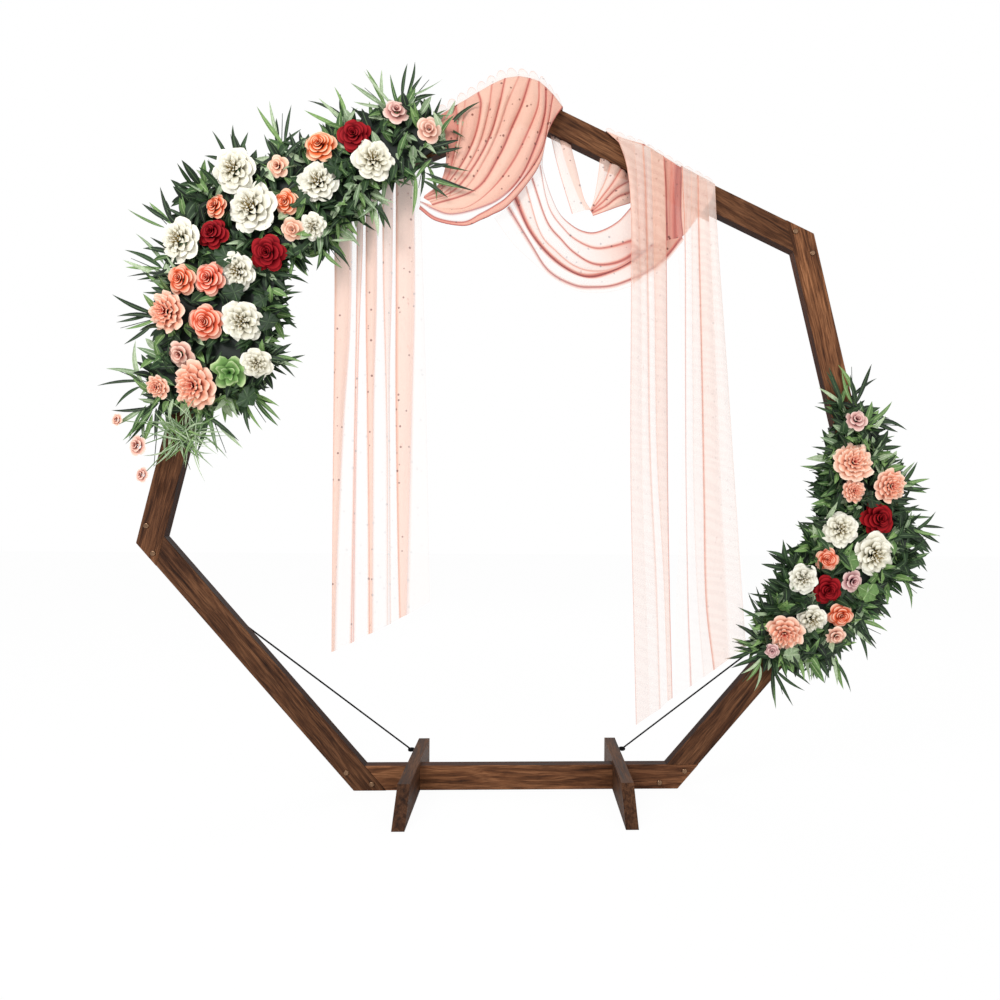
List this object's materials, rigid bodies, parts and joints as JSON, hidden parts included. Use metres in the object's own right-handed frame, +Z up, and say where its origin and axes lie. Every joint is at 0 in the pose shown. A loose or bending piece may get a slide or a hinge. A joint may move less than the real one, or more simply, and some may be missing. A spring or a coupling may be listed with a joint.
{
  "type": "wedding arch",
  "caption": "Free-standing heptagonal timber wedding arch on two cross feet, with wire stays, draped chiffon and two swags of silk flowers.",
  "frame": {"origin": "on the floor under the middle of the bottom rail, midway between the feet", "axes": "+Z up, +X along the arch to the right as seen from the front, the front with the flowers faces -Y"},
  "size_m": [2.4661, 0.478, 2.1012],
  "materials": {
    "timber": "satin walnut stain",
    "bolt_steel": "zinc plated",
    "stay_wire": "black coated wire rope",
    "eye_steel": "black",
    "strap": "dark green coated",
    "foliage": "silk leaves",
    "petals_cream": "silk petals",
    "petals_crimson": "silk petals",
    "petals_orange": "silk petals",
    "petals_peach": "silk petals",
    "petals_blush": "silk petals",
    "chiffon": "sheer chiffon"
  },
  "bodies": {
    "root": {"board_lower_left": "timber", "board_lower_right": "timber", "board_top_left": "timber", "board_top_right": "timber", "board_upper_left": "timber", "board_upper_right": "timber", "bolts_apex": "bolt_steel", "bolts_elbow_left": "bolt_steel", "bolts_elbow_right": "bolt_steel", "bolts_foot_left": "bolt_steel", "bolts_foot_right": "bolt_steel", "bolts_shoulder_left": "bolt_steel", "bolts_shoulder_right": "bolt_steel", "carnations_left": "petals_peach", "carnations_right": "petals_peach", "crimson_roses_left": "petals_crimson", "crimson_roses_right": "petals_crimson", "drape_swag_right": "chiffon", "drape_tail_left": "chiffon", "drape_tail_right": "chiffon", "drape_tail_right_outer": "chiffon", "drape_wrap_right": "chiffon", "drape_wrap_top": "chiffon", "eyes_left": "eye_steel", "eyes_right": "eye_steel", "foot_left": "timber", "foot_right": "timber", "hooks_left": "strap", "hooks_right": "strap", "leaves_left": "foliage", "leaves_right": "foliage", "orange_roses_left": "petals_orange", "orange_roses_right": "petals_orange", "pad_lower_right": "foliage", "pad_top_left": "foliage", "pad_upper_left": "foliage", "pad_upper_right": "foliage", "peonies_left": "petals_cream", "peonies_right": "petals_cream", "rail_bottom": "timber", "small_roses_left": "petals_blush", "small_roses_right": "petals_blush", "stay_left": "stay_wire", "stay_right": "stay_wire"}
  },
  "joints": []
}
